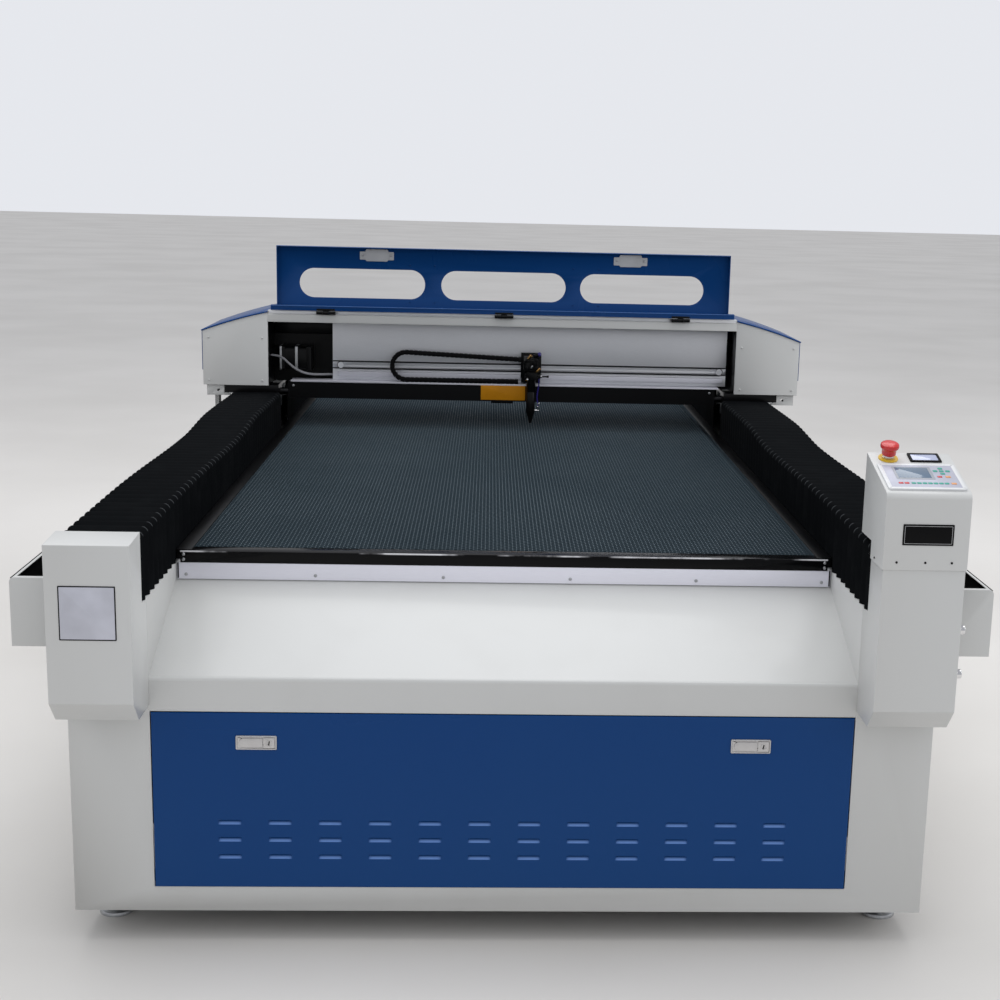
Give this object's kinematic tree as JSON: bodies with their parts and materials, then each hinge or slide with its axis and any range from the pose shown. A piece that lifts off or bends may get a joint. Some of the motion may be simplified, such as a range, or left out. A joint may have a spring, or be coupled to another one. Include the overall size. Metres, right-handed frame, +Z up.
{
  "type": "carbon dioxide laser engraving machine",
  "caption": "Flatbed laser engraving machine: long honeycomb bed in a steel cabinet, bellows over side rails, travelling gantry with laser head and tilting lid, side troughs and control hood.",
  "frame": {"origin": "on the floor under the middle of the machine, the levelling feet's pads included", "axes": "+X to the operator's right, +Y from the operator's end to the back along the bed, +Z up"},
  "size_m": [1.898, 3.3215, 1.302],
  "materials": {
    "body_paint": "smooth powder coat, pale grey",
    "navy_paint": "smooth powder coat, deep blue",
    "frame_paint": "matt powder coat, dark grey",
    "black_paint": "satin black",
    "comb_metal": "dark, with bright edges",
    "bright_aluminium": "satin anodised",
    "rail_steel": "ground",
    "zinc_steel": "zinc plated",
    "chrome": "polished",
    "bellows_cloth": "coated cloth, matt",
    "black_plastic": "matt",
    "grey_plastic": "matt",
    "white_plastic": "matt",
    "red_plastic": "glossy",
    "yellow_plastic": "glossy",
    "amber_plastic": "glossy",
    "belt_rubber": "matt",
    "tube_glass": "clear",
    "brass_red": "red anodised"
  },
  "bodies": {
    "machine": {"base_frame": "frame_paint", "levelling_feet": "zinc_steel", "front_fascia": "body_paint", "rear_fascia": "body_paint", "left_side_shell": "body_paint", "right_side_shell": "body_paint", "rails_and_racks": "rail_steel", "front_end_boxes": "body_paint", "rear_end_boxes": "body_paint", "left_cable_trough": "body_paint", "right_cable_trough": "body_paint", "table_frame": "frame_paint", "bed_border_bars": "black_paint", "bed_edge_strips": "bright_aluminium", "honeycomb_table": "comb_metal", "exhaust_spigots": "zinc_steel", "control_hood": "body_paint", "keypad_panel": "grey_plastic", "panel_meter": "black_plastic", "estop_collar": "yellow_plastic", "info_plates": "black_plastic", "side_locks": "chrome", "laser_power_supply": "black_paint", "front_bellows": "bellows_cloth", "rear_bellows": "bellows_cloth", "y_cable_chain": "black_plastic"},
    "gantry": {"left_gantry_leg": "body_paint", "right_gantry_leg": "body_paint", "carriage_blocks": "zinc_steel", "gantry_beam_tubes": "black_paint", "beam_face": "bright_aluminium", "x_guide_rail": "rail_steel", "left_cover_face": "body_paint", "right_cover_face": "body_paint", "left_cover_shell": "navy_paint", "right_cover_shell": "navy_paint", "gantry_top_rail": "body_paint", "rear_housing": "navy_paint", "laser_tube": "tube_glass", "tube_and_mirror_mounts": "bright_aluminium", "stepper_motors": "black_paint", "motor_conduit": "white_plastic", "reduction_belt": "belt_rubber", "x_drive_belt": "belt_rubber", "x_cable_chain": "black_plastic", "lid_hinge_leaves": "black_paint", "amber_plate": "amber_plastic"},
    "cross_shaft": {"cross_shaft": "rail_steel"},
    "motor_pulley": {"motor_pulley": "bright_aluminium"},
    "head_carriage": {"head_carriage": "black_paint"},
    "focus_tube": {"focus_tube": "brass_red"},
    "x_drive_pulley": {"x_drive_pulley": "bright_aluminium"},
    "x_idler_pulley": {"x_idler_pulley": "bright_aluminium"},
    "lid": {"lid": "navy_paint", "lid_catch_plates": "body_paint"},
    "front_door": {"front_door": "navy_paint", "door_latches": "black_plastic"},
    "left_latch_paddle": {"left_latch_paddle": "black_plastic"},
    "right_latch_paddle": {"right_latch_paddle": "black_plastic"},
    "estop_button": {"estop_button": "red_plastic"}
  },
  "joints": [
    {"name": "gantry_travel", "type": "slide", "parent": "machine", "child": "gantry", "axis": [0, 1, 0], "range_m": [-1.6, 0.85], "deforming": ["front_bellows", "rear_bellows", "y_cable_chain"]},
    {"name": "cross_shaft_turn", "type": "hinge", "parent": "gantry", "child": "cross_shaft", "pos_m": [0, 0.45, 0.845], "axis": [1, 0, 0], "range_deg": [-1600, 2900]},
    {"name": "motor_pulley_turn", "type": "hinge", "parent": "gantry", "child": "motor_pulley", "pos_m": [-0.774, 0.477, 0.951], "axis": [1, 0, 0], "range_deg": [-2700, 5000]},
    {"name": "head_travel", "type": "slide", "parent": "gantry", "child": "head_carriage", "axis": [1, 0, 0], "range_m": [-0.57, 0.57], "deforming": ["x_cable_chain"]},
    {"name": "drive_pulley_turn", "type": "hinge", "parent": "gantry", "child": "x_drive_pulley", "pos_m": [0.687, 0.45, 0.932], "axis": [0, 1, 0], "range_deg": [-3100, 3100]},
    {"name": "idler_pulley_turn", "type": "hinge", "parent": "gantry", "child": "x_idler_pulley", "pos_m": [-0.51, 0.45, 0.932], "axis": [0, 1, 0], "range_deg": [-3100, 3100]},
    {"name": "focus_slide", "type": "slide", "parent": "head_carriage", "child": "focus_tube", "axis": [0, 0, 1], "range_m": [-0.028, 0.015]},
    {"name": "lid_hinge", "type": "hinge", "parent": "gantry", "child": "lid", "pos_m": [0, 0.366, 1.1], "axis": [1, 0, 0], "range_deg": [0, 180]},
    {"name": "front_door_lift_off", "type": "slide", "parent": "machine", "child": "front_door", "axis": [0, -1, 0], "range_m": [0, 0.4]},
    {"name": "left_latch_turn", "type": "hinge", "parent": "front_door", "child": "left_latch_paddle", "pos_m": [-0.496, -1.5385, 0.4292], "axis": [-1, 0, 0], "range_deg": [0, 35], "stiffness_Nm_per_rad": 0.05},
    {"name": "right_latch_turn", "type": "hinge", "parent": "front_door", "child": "right_latch_paddle", "pos_m": [0.476, -1.5385, 0.4297], "axis": [-1, 0, 0], "range_deg": [0, 35], "stiffness_Nm_per_rad": 0.05},
    {"name": "stop_button_press", "type": "slide", "parent": "machine", "child": "estop_button", "axis": [0, 0.2732, -0.962], "range_m": [0, 0.006], "stiffness_N_per_m": 900}
  ],
  "couplings": [
    {"joint": "cross_shaft_turn", "follows": "gantry_travel", "rad_per_m": -31.25},
    {"joint": "motor_pulley_turn", "follows": "gantry_travel", "rad_per_m": -53.571},
    {"joint": "drive_pulley_turn", "follows": "head_travel", "rad_per_m": 90.909},
    {"joint": "idler_pulley_turn", "follows": "head_travel", "rad_per_m": 90.909}
  ]
}
